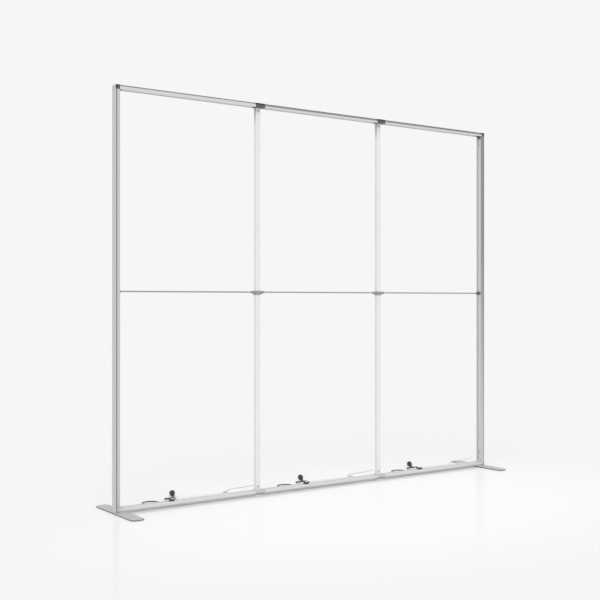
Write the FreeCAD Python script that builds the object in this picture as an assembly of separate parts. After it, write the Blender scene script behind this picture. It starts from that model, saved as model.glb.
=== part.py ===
"""A free-standing lightbox display wall: a bare aluminium frame of bays, on flat feet.

Millimetres. The origin is on the floor, under the middle of the wall. X runs along the
wall, Y from its front (-Y) to its back, Z up.
"""
import FreeCAD, Part
import math
import os

Vector = FreeCAD.Vector

# The wall
wall_width = 3000.0
wall_height = 2500.0
bay_names = ("left", "centre", "right")

# The grooved profile of the outer posts and the rails
profile_width = 26.0
profile_depth = 52.0
profile_wall = 2.0
groove_lip = 2.5
groove_width = 5.0
groove_depth = 14.0
channel_width = 28.0
channel_depth = 4.0

# The inner posts, plain tubes that are flush with the wall's back
inner_post_width = 36.0
inner_post_depth = 22.0
inner_post_wall = 2.0
inner_post_rounding = 3.0
split_height = 1275.0

# The connectors inside and between the profiles
fit_clearance = 0.25
corner_leg_length = 95.0
gusset_reach = 17.0
gusset_tip = 1.6
tee_width = 72.0
tee_rail_leg = 60.0
tee_post_leg = 60.0
coupler_lower_length = 90.0
coupler_upper_length = 70.0
peg_radius = 4.0
peg_drop = 35.0

# The spring buttons that lock the posts on the connectors
button_radius = 4.0
button_stand_out = 2.2
button_flange_radius = 4.95
button_flange_thickness = 2.0
button_bore_clearance = 0.05
button_hole_clearance = 0.3
button_back_gap = 0.4
button_bore_depth = 8.0
corner_button_offset = 65.0
tee_button_offset = 21.0

# The end feet, each turning on one bolt, and the round middle feet
foot_length = 510.0
foot_width = 82.0
foot_thickness = 8.0
foot_overhang = 6.0
foot_corner = 18.0
foot_edge = 1.5
swivel_gap = 0.3
bolt_radius = 5.0
bolt_reach = 20.0
bolt_head_radius = 9.0
bolt_head_height = 4.0
bolt_head_lift = 0.8
bolt_head_gap = 0.3
bolt_fit = 0.05
middle_foot_radius = 44.0
middle_foot_edge = 1.5

# The cross bars and their clamps
bar_lift = 22.0
bar_radius = 4.5
bar_wall = 1.2
bar_setback = 10.0
bar_end_gap = 0.5
socket_radius = 8.0
end_socket_length = 15.0
end_grip = 12.0
inner_socket_length = 27.0
inner_grip = 19.0
end_clamp_height = 22.0
end_clamp_depth = 32.0
end_clamp_plate = 4.0
collar_wall = 3.5
collar_drop = 16.0
web_thickness = 6.0

# The driver of each bay, hooked over the bottom rail's back lip
driver_start = 420.0
driver_length = 370.0
driver_depth = 24.0
driver_lift = 17.0
driver_height = 21.0
driver_rounding = 3.0
hook_thickness = 2.5
hook_lip = 1.4
hook_drop = 3.3
outlet_radius = 5.0
outlet_length = 8.0

# The outlet of the two black leads, in the bottom rail's channel
rail_outlet_place = 380.0
rail_outlet_width = 24.0
rail_outlet_depth = 20.0
rail_outlet_height = 11.7
rail_outlet_rounding = 2.0
rail_outlet_spacing = 11.0
rail_outlet_lead_lift = 8.0

# The leads behind each bay
grommet_place = 353.0
grommet_radius = 7.0
grommet_thickness = 2.5
grommet_hole_radius = 5.0
trunk_radius = 3.25
plug_lead_radius = 2.75
socket_lead_radius = 2.5
white_lead_radius = 2.5
plug_rim_radius = 18.0
plug_rim_length = 12.0
plug_taper_length = 30.0
plug_neck_radius = 9.0
plug_relief_length = 14.0
plug_relief_radius = 4.5
plug_pin_radius = 2.4
plug_pin_length = 19.0
plug_pin_spacing = 19.0
socket_body_length = 60.0
socket_body_width = 12.0
socket_body_height = 9.0
socket_body_rounding = 3.0
socket_droop = 12.0
white_plug_length = 40.0
white_plug_width = 18.0
white_plug_height = 9.0
white_plug_rounding = 2.0

# The straight runs of the leads at what they leave or enter
wall_run = 24.0
driver_entry_run = 29.0
socket_run = 20.0
white_plug_run = 47.0

# Where the leads lie: along the bay from its left end, back from the wall's middle, lift off the floor
trunk_points = [
    (347, 84, 11), (330, 106, 2.5), (304, 120, 0), (278, 134, 0), (262, 157, 0), (268, 184, 0),
    (298, 205, 0), (338, 202, 0), (365, 176, 0), (374, 142, 0), (372, 112, 4), (367, 84, 11),
    (366, 55, 17.5)]
plug_lead_points = [
    (402, 60, 34.5), (430, 82, 31.2), (458, 110, 25.2), (480, 146, 17.2), (497, 185, 9.2), (508.5, 221, 3.7)]
socket_lead_points = [(391, 58, 35), (416, 82, 32.5), (440, 106, 27.5)]
white_lead_points = [
    (838, 55, 14.5), (847, 82, 6.5), (851, 114, 0), (858, 150, 0), (872, 190, 0), (895, 228, 0),
    (930, 258, 0), (975, 274, 0), (1022, 279, 0), (1068, 279, 0)]
plug_spot = Vector(518.1, 246.2, 0)
plug_heading = Vector(0.356, 0.934, 0).normalize()
socket_place = Vector(453, 158, 0)
socket_heading = Vector(-0.115, 0.993, 0).normalize()
white_plug_place = Vector(1160, 301, 0)
white_plug_heading = Vector(0.95, 0.31, 0).normalize()

# Cuts run past what they cut by this much, and directions this close count as one
overrun = 1.0
parallel_limit = 1e-6

# Sizes that follow from those above
half_width = wall_width / 2
half_depth = profile_depth / 2
half_channel = channel_width / 2
frame_bottom = foot_thickness + swivel_gap
bar_height = split_height + bar_lift
bay_count = len(bay_names)
bay_width = wall_width / bay_count
inner_places = [bay * bay_width - half_width for bay in range(1, bay_count)]
groove_end = groove_lip + groove_width
chamber_near = groove_end + profile_wall
channel_floor = profile_width - channel_depth
chamber_far = channel_floor - profile_wall
leg_near = chamber_near + fit_clearance
leg_far = chamber_far - fit_clearance
leg_half_depth = half_depth - profile_wall - fit_clearance
inner_back = half_depth
inner_front = inner_back - inner_post_depth
inner_leg_front = inner_front + inner_post_wall + fit_clearance
inner_leg_back = inner_back - inner_post_wall - fit_clearance
inner_leg_half = inner_post_width / 2 - inner_post_wall - fit_clearance
inner_bore_rounding = inner_post_rounding - inner_post_wall
post_bottom = frame_bottom + profile_width
post_top = wall_height - profile_width
mirror_height = (frame_bottom + wall_height) / 2
button_bore_radius = button_flange_radius + button_bore_clearance
button_hole_radius = button_radius + button_hole_clearance
peg_hole_radius = peg_radius + button_hole_clearance
bolt_hole_radius = bolt_radius + bolt_fit
bolt_place = half_width - profile_width / 2
rail_hole_height = frame_bottom + (chamber_near + chamber_far) / 2
rail_floor = frame_bottom + channel_floor
socket_end_height = (socket_body_length * math.sin(math.radians(socket_droop))
                     + socket_body_height / 2 * math.cos(math.radians(socket_droop)))

UP = Vector(0, 0, 1)
RIGHT = Vector(1, 0, 0)
BACK = Vector(0, 1, 0)


def block(x0, x1, y0, y1, z0, z1):
    """A box between two opposite corners, given in any order."""
    low = Vector(min(x0, x1), min(y0, y1), min(z0, z1))
    return Part.makeBox(abs(x1 - x0), abs(y1 - y0), abs(z1 - z0), low)


def loop(points):
    """A closed wire of straight edges."""
    return Part.makePolygon(points + points[:1])


def join(first, *others):
    """One solid from solids that share volume or a face."""
    return first.multiFuse(list(others)).removeSplitter()


def mirrored_x(shape):
    """The same piece at the other end of the wall."""
    return shape.mirror(Vector(0, 0, 0), RIGHT)


def mirrored_z(shape):
    """The same piece at the other end of the frame's height."""
    return shape.mirror(Vector(0, 0, mirror_height), UP)


def along(line, direction):
    """Whether a line runs along a direction, either way."""
    return line.Direction.cross(direction).Length < parallel_limit


def edges_along(shape, direction):
    """The straight edges of a solid that run along a direction."""
    found = []
    for edge in shape.Edges:
        if isinstance(edge.Curve, Part.Line) and along(edge.Curve, direction):
            found.append(edge)
    return found


def rounded(shape, direction, radius):
    """The solid with its straight edges along a direction rounded."""
    return shape.makeFillet(radius, edges_along(shape, direction))


def export(name, shapes):
    """Writes one node: a single solid, or a group of separate ones."""
    shape = shapes if isinstance(shapes, Part.Shape) else Part.makeCompound(shapes)
    shape.exportStep("parts/" + name + ".step")


def profile_face():
    """The grooved section: u from the outer face to the inner one, v across the depth."""
    front_side = [
        (0, half_depth), (groove_lip, half_depth), (groove_lip, half_depth - groove_depth),
        (groove_end, half_depth - groove_depth), (groove_end, half_depth),
        (profile_width, half_depth), (profile_width, half_channel), (channel_floor, half_channel),
    ]
    outline = [Vector(u, -v, 0) for u, v in front_side]
    outline += [Vector(u, v, 0) for u, v in reversed(front_side)]
    chamber_half = half_depth - profile_wall
    spine_half = half_depth - groove_depth - profile_wall
    face = Part.Face(loop(outline))
    for near, far, half in ((chamber_near, chamber_far, chamber_half), (groove_lip, groove_end, spine_half)):
        corners = [(near, -half), (far, -half), (far, half), (near, half)]
        face = face.cut(Part.Face(loop([Vector(u, v, 0) for u, v in corners])))
    return face.Faces[0]


def profile_bar(origin, inward, length):
    """A length of the grooved profile whose inner face looks along inward."""
    bar = profile_face().extrude(UP * length)
    run = inward.cross(BACK)
    turn = FreeCAD.Matrix(
        inward.x, BACK.x, run.x, origin.x,
        inward.y, BACK.y, run.y, origin.y,
        inward.z, BACK.z, run.z, origin.z,
        0, 0, 0, 1)
    bar.Placement = FreeCAD.Placement(turn)
    return bar


def outer_post(low, high, hole_height, hole_radius):
    """A half of the left outer post, with one hole through its inner wall."""
    bar = profile_bar(Vector(-half_width, 0, low), RIGHT, high - low)
    start = Vector(chamber_far - overrun - half_width, 0, hole_height)
    return bar.cut(Part.makeCylinder(hole_radius, profile_wall + 2 * overrun, start, RIGHT))


def inner_post(low, high, hole_height):
    """A half of the inner post over X = 0, with a hole in its front at its connector."""
    half = inner_post_width / 2
    tube = rounded(block(-half, half, inner_front, inner_back, low, high), UP, inner_post_rounding)
    bore_half = half - inner_post_wall
    bore = block(-bore_half, bore_half, inner_front + inner_post_wall, inner_back - inner_post_wall,
                 low - overrun, high + overrun)
    tube = tube.cut(rounded(bore, UP, inner_bore_rounding))
    start = Vector(0, inner_front - overrun, hole_height)
    return tube.cut(Part.makeCylinder(button_hole_radius, inner_post_wall + 2 * overrun, start, BACK))


def rail_spans():
    """The left and right end of each rail, between the corners and the tees."""
    stops = [profile_width - half_width]
    for place in inner_places:
        stops += [place - tee_width / 2, place + tee_width / 2]
    stops.append(half_width - profile_width)
    return list(zip(stops[0::2], stops[1::2]))


def top_rail(left, right):
    """A top rail between two connectors."""
    return profile_bar(Vector(left, 0, wall_height), -UP, right - left)


def bottom_rail(left, right, bay_left):
    """A bottom rail, with a hole for the grommet in its back wall and one for the outlet in its channel."""
    bar = profile_bar(Vector(right, 0, frame_bottom), UP, right - left)
    back_hole = Vector(bay_left + grommet_place, half_depth - profile_wall - overrun, rail_hole_height)
    top_hole = Vector(bay_left + rail_outlet_place, 0, rail_floor - profile_wall - overrun)
    for start, direction in ((back_hole, BACK), (top_hole, UP)):
        bar = bar.cut(Part.makeCylinder(grommet_hole_radius, profile_wall + 2 * overrun, start, direction))
    return bar


def groove_cuts(x0, x1, z0, z1):
    """The front and back fabric groove through a connector's block."""
    return [block(x0, x1, side * half_depth, side * (half_depth - groove_depth), z0, z1) for side in (-1, 1)]


def corner_connector():
    """The top left corner: a block, a leg into the post, a leg into the rail and a gusset."""
    inner_x = profile_width - half_width
    body = block(-half_width, inner_x, -half_depth, half_depth, post_top, wall_height)
    groove_x = groove_lip - half_width
    groove_z = wall_height - groove_lip
    for cut in groove_cuts(groove_x, groove_x + groove_width, post_top, groove_z):
        body = body.cut(cut)
    for cut in groove_cuts(groove_x, inner_x, groove_z - groove_width, groove_z):
        body = body.cut(cut)
    post_leg = block(leg_near - half_width, leg_far - half_width, -leg_half_depth, leg_half_depth,
                     post_top - corner_leg_length, post_top)
    rail_leg = block(inner_x, inner_x + corner_leg_length, -leg_half_depth, leg_half_depth,
                     wall_height - leg_far, wall_height - leg_near)
    sink = channel_depth - fit_clearance
    half = half_channel - fit_clearance
    hollow = gusset_reach - gusset_tip
    middle = gusset_reach - hollow * math.sqrt(2) / 2

    def spot(a, b):
        return Vector(inner_x + a, -half, post_top - b)

    edges = [Part.Arc(spot(gusset_tip, gusset_reach), spot(middle, middle),
                      spot(gusset_reach, gusset_tip)).toShape()]
    corners = [spot(gusset_reach, gusset_tip), spot(gusset_reach, -sink), spot(0, -sink), spot(0, 0),
               spot(-sink, 0), spot(-sink, gusset_reach), spot(gusset_tip, gusset_reach)]
    edges += [Part.makeLine(a, b) for a, b in zip(corners, corners[1:])]
    gusset = Part.Face(Part.Wire(edges)).extrude(BACK * 2 * half)
    mouth = Vector(leg_far - half_width + overrun, 0, post_top - corner_button_offset)
    bore = Part.makeCylinder(button_bore_radius, button_bore_depth + overrun, mouth, -RIGHT)
    return join(body, post_leg, rail_leg, gusset).cut(bore)


def inner_leg(low, high):
    """A bar that fits inside the inner post over X = 0."""
    bar = block(-inner_leg_half, inner_leg_half, inner_leg_front, inner_leg_back, low, high)
    return rounded(bar, UP, inner_bore_rounding)


def tee_connector():
    """The top tee over X = 0: a block, a leg into each rail and a leg into the inner post."""
    half = tee_width / 2
    body = block(-half, half, -half_depth, half_depth, post_top, wall_height)
    groove_z = wall_height - groove_lip
    for cut in groove_cuts(-half, half, groove_z - groove_width, groove_z):
        body = body.cut(cut)
    legs = [block(side * half, side * (half + tee_rail_leg), -leg_half_depth, leg_half_depth,
                  wall_height - leg_far, wall_height - leg_near) for side in (-1, 1)]
    legs.append(inner_leg(post_top - tee_post_leg, post_top))
    mouth = Vector(0, inner_leg_front - overrun, post_top - tee_button_offset)
    bore = Part.makeCylinder(button_bore_radius, button_bore_depth + overrun, mouth, BACK)
    return join(body, *legs).cut(bore)


def bolt_hole(place):
    """What a foot's bolt or stud takes out of the connector over it."""
    foot = Vector(place, 0, frame_bottom - overrun)
    return Part.makeCylinder(bolt_hole_radius, bolt_reach + 2 * overrun, foot)


def button(seat, outward, wall):
    """A stepped spring button: seat is where its axis meets the inside of the post's wall."""
    flange_face = seat - outward * button_back_gap
    flange = Part.makeCylinder(button_flange_radius, button_flange_thickness, flange_face, -outward)
    stem = Part.makeCylinder(button_radius, button_back_gap + wall + button_stand_out, flange_face, outward)
    return join(flange, stem)


def outer_coupler():
    """The bar inside the left outer post that joins its halves, with a locating peg."""
    bar = block(leg_near - half_width, leg_far - half_width, -leg_half_depth, leg_half_depth,
                split_height - coupler_lower_length, split_height + coupler_upper_length)
    start = Vector(leg_far - half_width, 0, split_height - peg_drop)
    return join(bar, Part.makeCylinder(peg_radius, channel_floor - leg_far, start, RIGHT))


def inner_coupler():
    """The bar inside the inner post over X = 0 that joins its halves."""
    return inner_leg(split_height - coupler_lower_length, split_height + coupler_upper_length)


def socket_bore(mouth, inward, grip):
    """What a cross bar's end takes out of a clamp's socket."""
    start = mouth - inward * overrun
    return Part.makeCylinder(bar_radius + fit_clearance, grip + overrun, start, inward)


def end_clamp():
    """The clamp on the left outer post: a tongue in the channel, a plate and a socket."""
    low = bar_height - end_clamp_height / 2
    high = bar_height + end_clamp_height / 2
    face = profile_width - half_width
    front = half_depth - end_clamp_depth
    plate = block(face, face + end_clamp_plate, front, half_depth, low, high)
    tongue = block(channel_floor - half_width, face, front, half_channel - fit_clearance, low, high)
    root = Vector(face + end_clamp_plate, bar_setback, bar_height)
    socket = Part.makeCylinder(socket_radius, end_socket_length, root, RIGHT)
    return join(plate, tongue, socket).cut(socket_bore(root + RIGHT * end_socket_length, -RIGHT, end_grip))


def inner_clamp():
    """The clamp on the inner post over X = 0: a collar with a webbed socket on each side."""
    half = inner_post_width / 2 + collar_wall
    low = bar_height - collar_drop
    high = bar_height + socket_radius
    collar = block(-half, half, inner_front - collar_wall, inner_back + collar_wall, low, high)
    hole_half = inner_post_width / 2 + fit_clearance
    hole = block(-hole_half, hole_half, inner_front - fit_clearance, inner_back + fit_clearance,
                 low - overrun, high + overrun)
    pieces = []
    bores = []
    for side in (-1, 1):
        root = Vector(side * half, bar_setback, bar_height)
        tip = root + RIGHT * side * inner_socket_length
        pieces.append(Part.makeCylinder(socket_radius, inner_socket_length, root, RIGHT * side))
        web_front = bar_setback - web_thickness / 2
        web = [Vector(root.x, web_front, low), Vector(tip.x, web_front, bar_height - bar_radius - bar_wall),
               Vector(root.x, web_front, bar_height - bar_radius - bar_wall)]
        pieces.append(Part.Face(loop(web)).extrude(BACK * web_thickness))
        bores.append(socket_bore(tip, RIGHT * -side, inner_grip))
    return join(collar, *pieces).cut(hole).cut(bores[0]).cut(bores[1])


def cross_bar(left, right):
    """A round tube between the bottoms of two sockets."""
    start = Vector(left, bar_setback, bar_height)
    outside = Part.makeCylinder(bar_radius, right - left, start, RIGHT)
    bore_start = start - RIGHT * overrun
    bore_length = right - left + 2 * overrun
    return outside.cut(Part.makeCylinder(bar_radius - bar_wall, bore_length, bore_start, RIGHT))


def bar_spans():
    """The left and right end of each cross bar, a small gap short of its sockets' bottoms."""
    end_inset = end_socket_length - end_grip + bar_end_gap
    inner_inset = inner_socket_length - inner_grip + bar_end_gap
    outer = half_width - profile_width - end_clamp_plate - end_inset
    middle = inner_post_width / 2 + collar_wall + inner_inset
    stops = [-outer]
    for place in inner_places:
        stops += [place - middle, place + middle]
    stops.append(outer)
    return list(zip(stops[0::2], stops[1::2]))


def end_foot():
    """The left end foot: a long plate with cut corners, counterbored from below for its bolt."""
    outer = -half_width - foot_overhang
    plate = block(outer, outer + foot_width, -foot_length / 2, foot_length / 2, 0, foot_thickness)
    plate = plate.makeChamfer(foot_corner, edges_along(plate, UP))
    rim = [edge for edge in plate.Edges if edge.BoundBox.ZMin > foot_thickness - foot_edge]
    plate = plate.makeChamfer(foot_edge, rim)
    axis = Vector(-bolt_place, 0, -overrun)
    hole = Part.makeCylinder(bolt_hole_radius, foot_thickness + 2 * overrun, axis)
    sink_height = bolt_head_lift + bolt_head_height + bolt_head_gap
    sink = Part.makeCylinder(bolt_head_radius + bolt_head_gap, sink_height + overrun, axis)
    return plate.cut(hole).cut(sink)


def foot_bolt():
    """The left foot's bolt: a flat head in the plate and a shank up into the corner."""
    head = Part.makeCylinder(bolt_head_radius, bolt_head_height, Vector(-bolt_place, 0, bolt_head_lift))
    foot = bolt_head_lift + bolt_head_height
    shank = Part.makeCylinder(bolt_radius, frame_bottom + bolt_reach - foot, Vector(-bolt_place, 0, foot))
    return join(head, shank)


def middle_foot(place):
    """A round plate with a stud up into the tee over it."""
    disc = Part.makeCylinder(middle_foot_radius, frame_bottom, Vector(place, 0, 0))
    rim = [edge for edge in disc.Edges if edge.BoundBox.ZMin > frame_bottom - middle_foot_edge]
    disc = disc.makeChamfer(middle_foot_edge, rim)
    return join(disc, Part.makeCylinder(bolt_radius, bolt_reach, Vector(place, 0, frame_bottom)))


def driver(left):
    """A slim closed box behind the bottom rail, with a hook over the rail's lip and a gland at each end."""
    right = left + driver_length
    top = driver_lift + driver_height
    back = half_depth + driver_depth
    case = block(left, right, half_depth, back, driver_lift, top)
    case = rounded(case, RIGHT, driver_rounding)
    hook_front = half_channel - fit_clearance - hook_lip
    hook_back = half_depth + driver_rounding
    hook = block(left, right, hook_front, hook_back, post_bottom, post_bottom + hook_thickness)
    lip = block(left, right, hook_front, hook_front + hook_lip, post_bottom - hook_drop, post_bottom)
    axis = Vector(left - outlet_length, half_depth + driver_depth / 2, rail_hole_height)
    near_gland = Part.makeCylinder(outlet_radius, outlet_length, axis, RIGHT)
    far_gland = near_gland.translated(RIGHT * (driver_length + outlet_length))
    return join(case, hook, lip, near_gland, far_gland)


def grommet(place):
    """A flanged ring in the rail's back wall that the trunk lead comes out of."""
    face = Vector(place, half_depth, rail_hole_height)
    flange = Part.makeCylinder(grommet_radius, grommet_thickness, face, BACK)
    sleeve = Part.makeCylinder(grommet_hole_radius - fit_clearance, profile_wall, face, -BACK)
    return join(flange, sleeve)


def rail_outlet():
    """A block on the floor of the rail's channel, held by a spigot; both leads leave its back."""
    half = rail_outlet_width / 2
    back = rail_outlet_depth / 2
    left, right = rail_outlet_place - half, rail_outlet_place + half
    body = block(left, right, -back, back, rail_floor, rail_floor + rail_outlet_height)
    body = rounded(body, UP, rail_outlet_rounding)
    foot = Vector(rail_outlet_place, 0, rail_floor)
    return join(body, Part.makeCylinder(grommet_hole_radius - fit_clearance, profile_wall, foot, -UP))


def cord_tube(label, points, radius):
    """A tube along straight runs with an arc at each point, as large as its runs allow."""
    arc_share = 0.45
    edges = []
    radii = []
    start = points[0]
    for before, corner, after in zip(points, points[1:], points[2:]):
        come = corner - before
        leave = after - corner
        reach = arc_share * min(come.Length, leave.Length)
        half_turn = come.getAngle(leave) / 2
        arc_radius = reach / math.tan(half_turn)
        come.normalize()
        leave.normalize()
        bisector = leave - come
        bisector.normalize()
        middle = corner + bisector * (arc_radius / math.cos(half_turn) - arc_radius)
        first = corner - come * reach
        last = corner + leave * reach
        edges += [Part.LineSegment(start, first).toShape(), Part.Arc(first, middle, last).toShape()]
        radii.append(arc_radius)
        start = last
    edges.append(Part.LineSegment(start, points[-1]).toShape())
    path = Part.Wire(edges)
    ring = Part.Wire(Part.Circle(points[0], points[1] - points[0], radius).toShape())
    tube = path.makePipeShell([ring], True, False)
    ratio = tube.Volume / (math.pi * radius * radius * path.Length)
    print("%s: length %.0f, radii %s, volume ratio %.4f"
          % (label, path.Length, [round(value) for value in radii], ratio))
    return tube


def laid(shape, place, heading):
    """A piece built along +X from the origin, turned to a heading on the floor and moved there."""
    turned = shape.copy()
    turned.rotate(Vector(0, 0, 0), UP, math.degrees(math.atan2(heading.y, heading.x)))
    turned.translate(place)
    return turned


def plug():
    """A moulded two-pin plug lying on its tapered side: relief end at the origin, pins along +X."""
    neck = plug_relief_length
    shoulder = neck + plug_taper_length
    face = shoulder + plug_rim_length
    outline = [(0, 0), (0, plug_relief_radius), (neck, plug_relief_radius), (neck, plug_neck_radius),
               (shoulder, plug_rim_radius), (face, plug_rim_radius), (face, 0)]
    section = Part.Face(loop([Vector(length, 0, out) for length, out in outline]))
    body = section.revolve(Vector(0, 0, 0), RIGHT, 360)
    roots = [Vector(face, side * plug_pin_spacing / 2, 0) for side in (-1, 1)]
    pins = [Part.makeCylinder(plug_pin_radius, plug_pin_length, root, RIGHT) for root in roots]
    whole = join(body, *pins)
    tilt = math.atan2(plug_rim_radius - plug_neck_radius, plug_taper_length)
    whole.rotate(Vector(0, 0, 0), BACK, -math.degrees(tilt))
    return whole


def plug_axis_height():
    """How high the plug's relief end is when its tapered side lies on the floor."""
    tilt = math.atan2(plug_rim_radius - plug_neck_radius, plug_taper_length)
    return plug_neck_radius * math.cos(tilt) - plug_relief_length * math.sin(tilt)


def flat_connector(length, width, height, rounding):
    """A flat connector on the floor, its lead's end over the origin."""
    half = width / 2
    body = block(0, length, -half, half, 0, height)
    return rounded(body, RIGHT, rounding)


def inline_socket():
    """A flat connector about its lead's axis, its far end drooping."""
    body = flat_connector(socket_body_length, socket_body_width, socket_body_height, socket_body_rounding)
    body.translate(UP * -socket_body_height / 2)
    body.rotate(Vector(0, 0, 0), BACK, socket_droop)
    return body


def route(points, radius):
    """A lead's middle line over its points on and above the floor."""
    return [Vector(x, y, lift + radius) for x, y, lift in points]


def straight(place, heading, length):
    """The two ends of a straight run that arrives at a place along a heading."""
    return [place - heading * length, place]


def outlet_exit(side):
    """The start and the straight first run of a lead that leaves the rail outlet's back."""
    place = rail_outlet_place + side * rail_outlet_spacing / 2
    mouth = Vector(place, rail_outlet_depth / 2, rail_floor + rail_outlet_lead_lift)
    return [mouth, mouth + BACK * wall_run]


def trunk_route():
    """From the grommet down to the floor, round a loop and up into the driver's near gland."""
    mouth = Vector(grommet_place, half_depth + grommet_thickness, rail_hole_height)
    gland = Vector(driver_start - outlet_length, half_depth + driver_depth / 2, rail_hole_height)
    points = [mouth, mouth + BACK * wall_run] + route(trunk_points, trunk_radius)
    return points + straight(gland, RIGHT, driver_entry_run)


def plug_lead_route():
    """From the rail outlet in a long fall to the floor and round into the plug."""
    points = outlet_exit(1) + route(plug_lead_points, plug_lead_radius)
    return points + [plug_spot + UP * plug_axis_height()]


def socket_lead_route():
    """From the rail outlet down to the inline socket, whose far end is on the floor."""
    droop = math.radians(socket_droop)
    heading = socket_heading * math.cos(droop) - UP * math.sin(droop)
    points = outlet_exit(-1) + route(socket_lead_points, socket_lead_radius)
    return points + straight(socket_place + UP * socket_end_height, heading, socket_run)


def white_lead_route():
    """From the driver's far gland down to the floor and along to its flat plug."""
    gland_x = driver_start + driver_length + outlet_length
    gland = Vector(gland_x, half_depth + driver_depth / 2, rail_hole_height)
    points = [gland, gland + RIGHT * wall_run] + route(white_lead_points, white_lead_radius)
    return points + straight(white_plug_place + UP * white_lead_radius, white_plug_heading, white_plug_run)


def build_frame():
    """The posts, rails, connectors, couplers and buttons."""
    lower_hole = post_bottom + corner_button_offset
    upper_hole = post_top - corner_button_offset
    peg_height = split_height - peg_drop
    left_lower = outer_post(post_bottom, split_height, lower_hole, button_hole_radius)
    start = Vector(chamber_far - overrun - half_width, 0, peg_height)
    left_lower = left_lower.cut(Part.makeCylinder(peg_hole_radius, profile_wall + 2 * overrun, start, RIGHT))
    left_upper = outer_post(split_height, post_top, upper_hole, button_hole_radius)
    for side, turn in (("left", Part.Shape.copy), ("right", mirrored_x)):
        export(side + "_post_lower", turn(left_lower))
        export(side + "_post_upper", turn(left_upper))
    inner_lower_hole = post_bottom + tee_button_offset
    inner_upper_hole = post_top - tee_button_offset
    inner_lower = inner_post(post_bottom, split_height, inner_lower_hole)
    inner_upper = inner_post(split_height, post_top, inner_upper_hole)
    for side, place in zip(("left", "right"), inner_places):
        export(side + "_inner_post_lower", inner_lower.translated(RIGHT * place))
        export(side + "_inner_post_upper", inner_upper.translated(RIGHT * place))
    for bay, (name, span) in enumerate(zip(bay_names, rail_spans())):
        export("top_rail_" + name, top_rail(*span))
        export("bottom_rail_" + name, bottom_rail(*span, bay * bay_width - half_width))
    corner = corner_connector()
    tee = tee_connector()
    export("top_left_corner", corner)
    export("top_right_corner", mirrored_x(corner))
    low_corner = mirrored_z(corner).cut(bolt_hole(-bolt_place))
    export("bottom_left_corner", low_corner)
    export("bottom_right_corner", mirrored_x(low_corner))
    low_tee = mirrored_z(tee).cut(bolt_hole(0))
    for side, place in zip(("left", "right"), inner_places):
        export("top_" + side + "_tee", tee.translated(RIGHT * place))
        export("bottom_" + side + "_tee", low_tee.translated(RIGHT * place))
    coupler = outer_coupler()
    export("outer_post_couplers", [coupler, mirrored_x(coupler)])
    export("inner_post_couplers", [inner_coupler().translated(RIGHT * place) for place in inner_places])
    ends = (("top", upper_hole, inner_upper_hole), ("bottom", lower_hole, inner_lower_hole))
    for end, outer_height, inner_height in ends:
        outer = button(Vector(chamber_far - half_width, 0, outer_height), RIGHT, profile_wall)
        export("left_post_" + end + "_button", outer)
        export("right_post_" + end + "_button", mirrored_x(outer))
        inner = button(Vector(0, inner_front + inner_post_wall, inner_height), -BACK, inner_post_wall)
        for side, place in zip(("left", "right"), inner_places):
            export(side + "_inner_post_" + end + "_button", inner.translated(RIGHT * place))


def build_bars():
    """The cross bars and their clamps."""
    for name, span in zip(bay_names, bar_spans()):
        export("cross_bar_" + name, cross_bar(*span))
    clamp = end_clamp()
    clamps = [clamp, mirrored_x(clamp)] + [inner_clamp().translated(RIGHT * place) for place in inner_places]
    export("cross_bar_clamps", clamps)


def build_feet():
    """The end feet, their bolts and the middle feet."""
    foot = end_foot()
    export("left_end_foot", foot)
    export("right_end_foot", mirrored_x(foot))
    bolt = foot_bolt()
    export("foot_bolts", [bolt, mirrored_x(bolt)])
    export("middle_feet", [middle_foot(place) for place in inner_places])


def build_power():
    """The drivers and, behind each bay, the leads with what is on them."""
    white_plug = flat_connector(white_plug_length, white_plug_width, white_plug_height, white_plug_rounding)
    leads = {
        "trunk_lead": cord_tube("trunk lead", trunk_route(), trunk_radius),
        "plug_lead": cord_tube("plug lead", plug_lead_route(), plug_lead_radius),
        "socket_lead": cord_tube("socket lead", socket_lead_route(), socket_lead_radius),
        "white_lead": cord_tube("white lead", white_lead_route(), white_lead_radius),
    }
    ends = {
        "lead_grommets": grommet(grommet_place),
        "rail_outlets": rail_outlet(),
        "lead_plugs": laid(plug(), plug_spot + UP * plug_axis_height(), plug_heading),
        "lead_sockets": laid(inline_socket(), socket_place + UP * socket_end_height, socket_heading),
        "white_plugs": laid(white_plug, white_plug_place, white_plug_heading),
    }
    shifts = [RIGHT * (bay * bay_width - half_width) for bay in range(bay_count)]
    for name, shift in zip(bay_names, shifts):
        export("driver_" + name, driver(driver_start).translated(shift))
        for lead, tube in leads.items():
            export(lead + "_" + name, tube.translated(shift))
    for end, piece in ends.items():
        export(end, [piece.translated(shift) for shift in shifts])


os.makedirs("parts", exist_ok=True)
build_frame()
build_bars()
build_feet()
build_power()
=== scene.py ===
"""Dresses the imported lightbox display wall: finishes, leads with what is on them, floor, light and camera."""
import logging
import math
from abc import ABC, abstractmethod
from dataclasses import dataclass, field
from enum import Enum
from typing import Any, ClassVar, Sequence

import bmesh
import bpy
from mathutils import Matrix, Vector

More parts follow.
